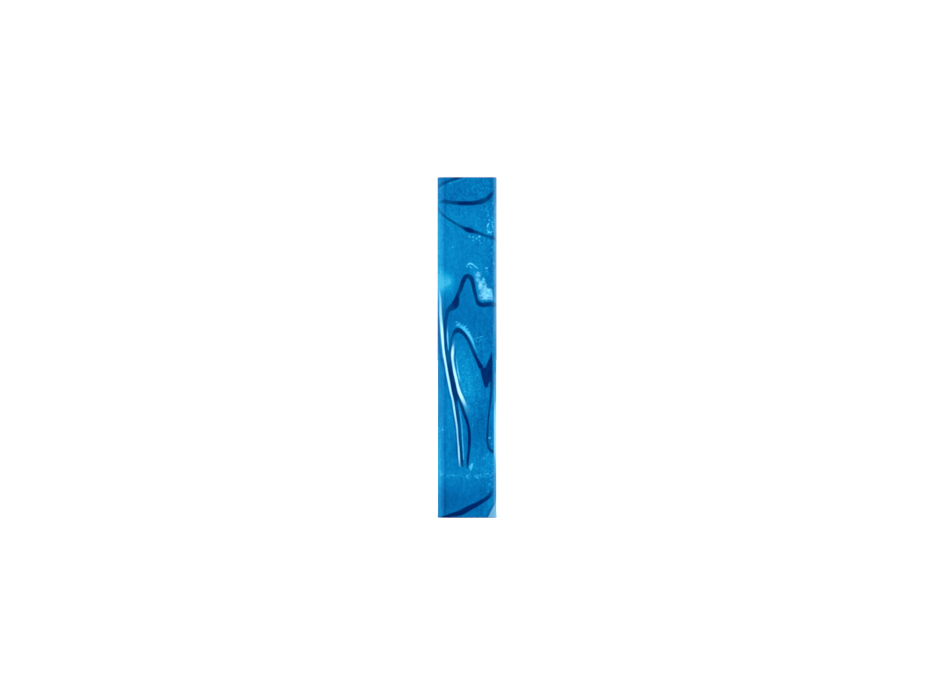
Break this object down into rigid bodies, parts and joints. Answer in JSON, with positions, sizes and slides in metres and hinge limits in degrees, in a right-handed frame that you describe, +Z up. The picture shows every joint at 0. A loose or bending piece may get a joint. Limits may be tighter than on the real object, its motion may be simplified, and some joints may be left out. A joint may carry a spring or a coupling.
{
  "type": "marbled resin turning blank",
  "caption": "Square bar of cast blue pearl resin with navy and white swirls, sawn to length for turning or carving.",
  "frame": {"origin": "middle of the lower cut end, on the surface the bar stands on", "axes": "+Z up the length of the bar, -Y out of the front face, +X to the right of the front face"},
  "size_m": [0.022, 0.022, 0.127],
  "materials": {
    "blue_resin": "pearl, satin-ground faces",
    "navy_resin": "satin-ground",
    "white_resin": "pearl, satin-ground",
    "pale_resin": "pearl, satin-ground"
  },
  "bodies": {
    "root": {"blue_pearl_body": "blue_resin", "blue_pearl_middle": "blue_resin", "blue_pearl_top": "blue_resin", "navy_back_curl": "navy_resin", "navy_back_hook": "navy_resin", "navy_bottom_sweep": "navy_resin", "navy_corner_streak": "navy_resin", "navy_dark_band": "navy_resin", "navy_inner_strand": "navy_resin", "navy_long_diagonal": "navy_resin", "navy_loop": "navy_resin", "navy_right_hook": "navy_resin", "navy_star_peak": "navy_resin", "navy_upper_arc": "navy_resin", "navy_v_pool": "navy_resin", "pale_cloud": "pale_resin", "pale_corner_wedge": "pale_resin", "pale_foot": "pale_resin", "pale_loop_edge": "pale_resin", "pale_thread_left": "pale_resin", "pale_thread_loop": "pale_resin", "pale_thread_middle": "pale_resin", "white_back_ribbon": "white_resin", "white_inner_crescent": "white_resin", "white_left_ribbon": "white_resin", "white_right_strip": "white_resin"}
  },
  "joints": []
}
